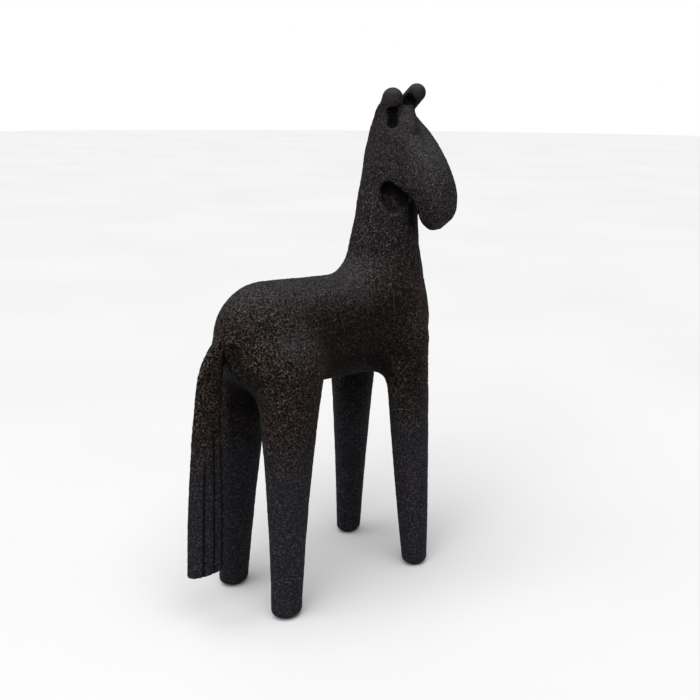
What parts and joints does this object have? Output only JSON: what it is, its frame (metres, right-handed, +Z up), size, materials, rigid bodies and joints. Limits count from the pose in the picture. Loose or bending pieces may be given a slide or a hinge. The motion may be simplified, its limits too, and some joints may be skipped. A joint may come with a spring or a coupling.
{
  "type": "bronze horse statuette",
  "caption": "Standing horse statuette in hollow cast bronze, straight tapered legs, head turned to its right, blade tail.",
  "frame": {"origin": "on the ground, below the middle of the horse's bounding box", "axes": "+Z up; the horse faces -Y, its left side is towards +X, and its head is turned towards -X"},
  "size_m": [0.098, 0.2284, 0.3736],
  "materials": {
    "bronze_patina": "dark brown-black patina over a rough cast crackle, rubbed to bare brown bronze on its high grains",
    "bare_bronze": "machined, unpatinated",
    "felt": "pressed black felt"
  },
  "bodies": {
    "root": {"torso": "bronze_patina", "neck": "bronze_patina", "head": "bronze_patina", "leg_fore_right": "bronze_patina", "leg_fore_left": "bronze_patina", "leg_hind_right": "bronze_patina", "leg_hind_left": "bronze_patina", "tail": "bronze_patina", "sleeve_neck": "bare_bronze", "sleeve_head": "bare_bronze", "sleeve_leg_fore_right": "bare_bronze", "sleeve_leg_fore_left": "bare_bronze", "sleeve_leg_hind_right": "bare_bronze", "sleeve_leg_hind_left": "bare_bronze", "dowel_tail": "bare_bronze", "pin_upper_neck": "bare_bronze", "pin_lower_neck": "bare_bronze", "pin_upper_head": "bare_bronze", "pin_lower_head": "bare_bronze", "pin_upper_leg_fore_right": "bare_bronze", "pin_lower_leg_fore_right": "bare_bronze", "pin_upper_leg_fore_left": "bare_bronze", "pin_lower_leg_fore_left": "bare_bronze", "pin_upper_leg_hind_right": "bare_bronze", "pin_lower_leg_hind_right": "bare_bronze", "pin_upper_leg_hind_left": "bare_bronze", "pin_lower_leg_hind_left": "bare_bronze", "felt_fore_right": "felt", "felt_fore_left": "felt", "felt_hind_right": "felt", "felt_hind_left": "felt"}
  },
  "joints": []
}
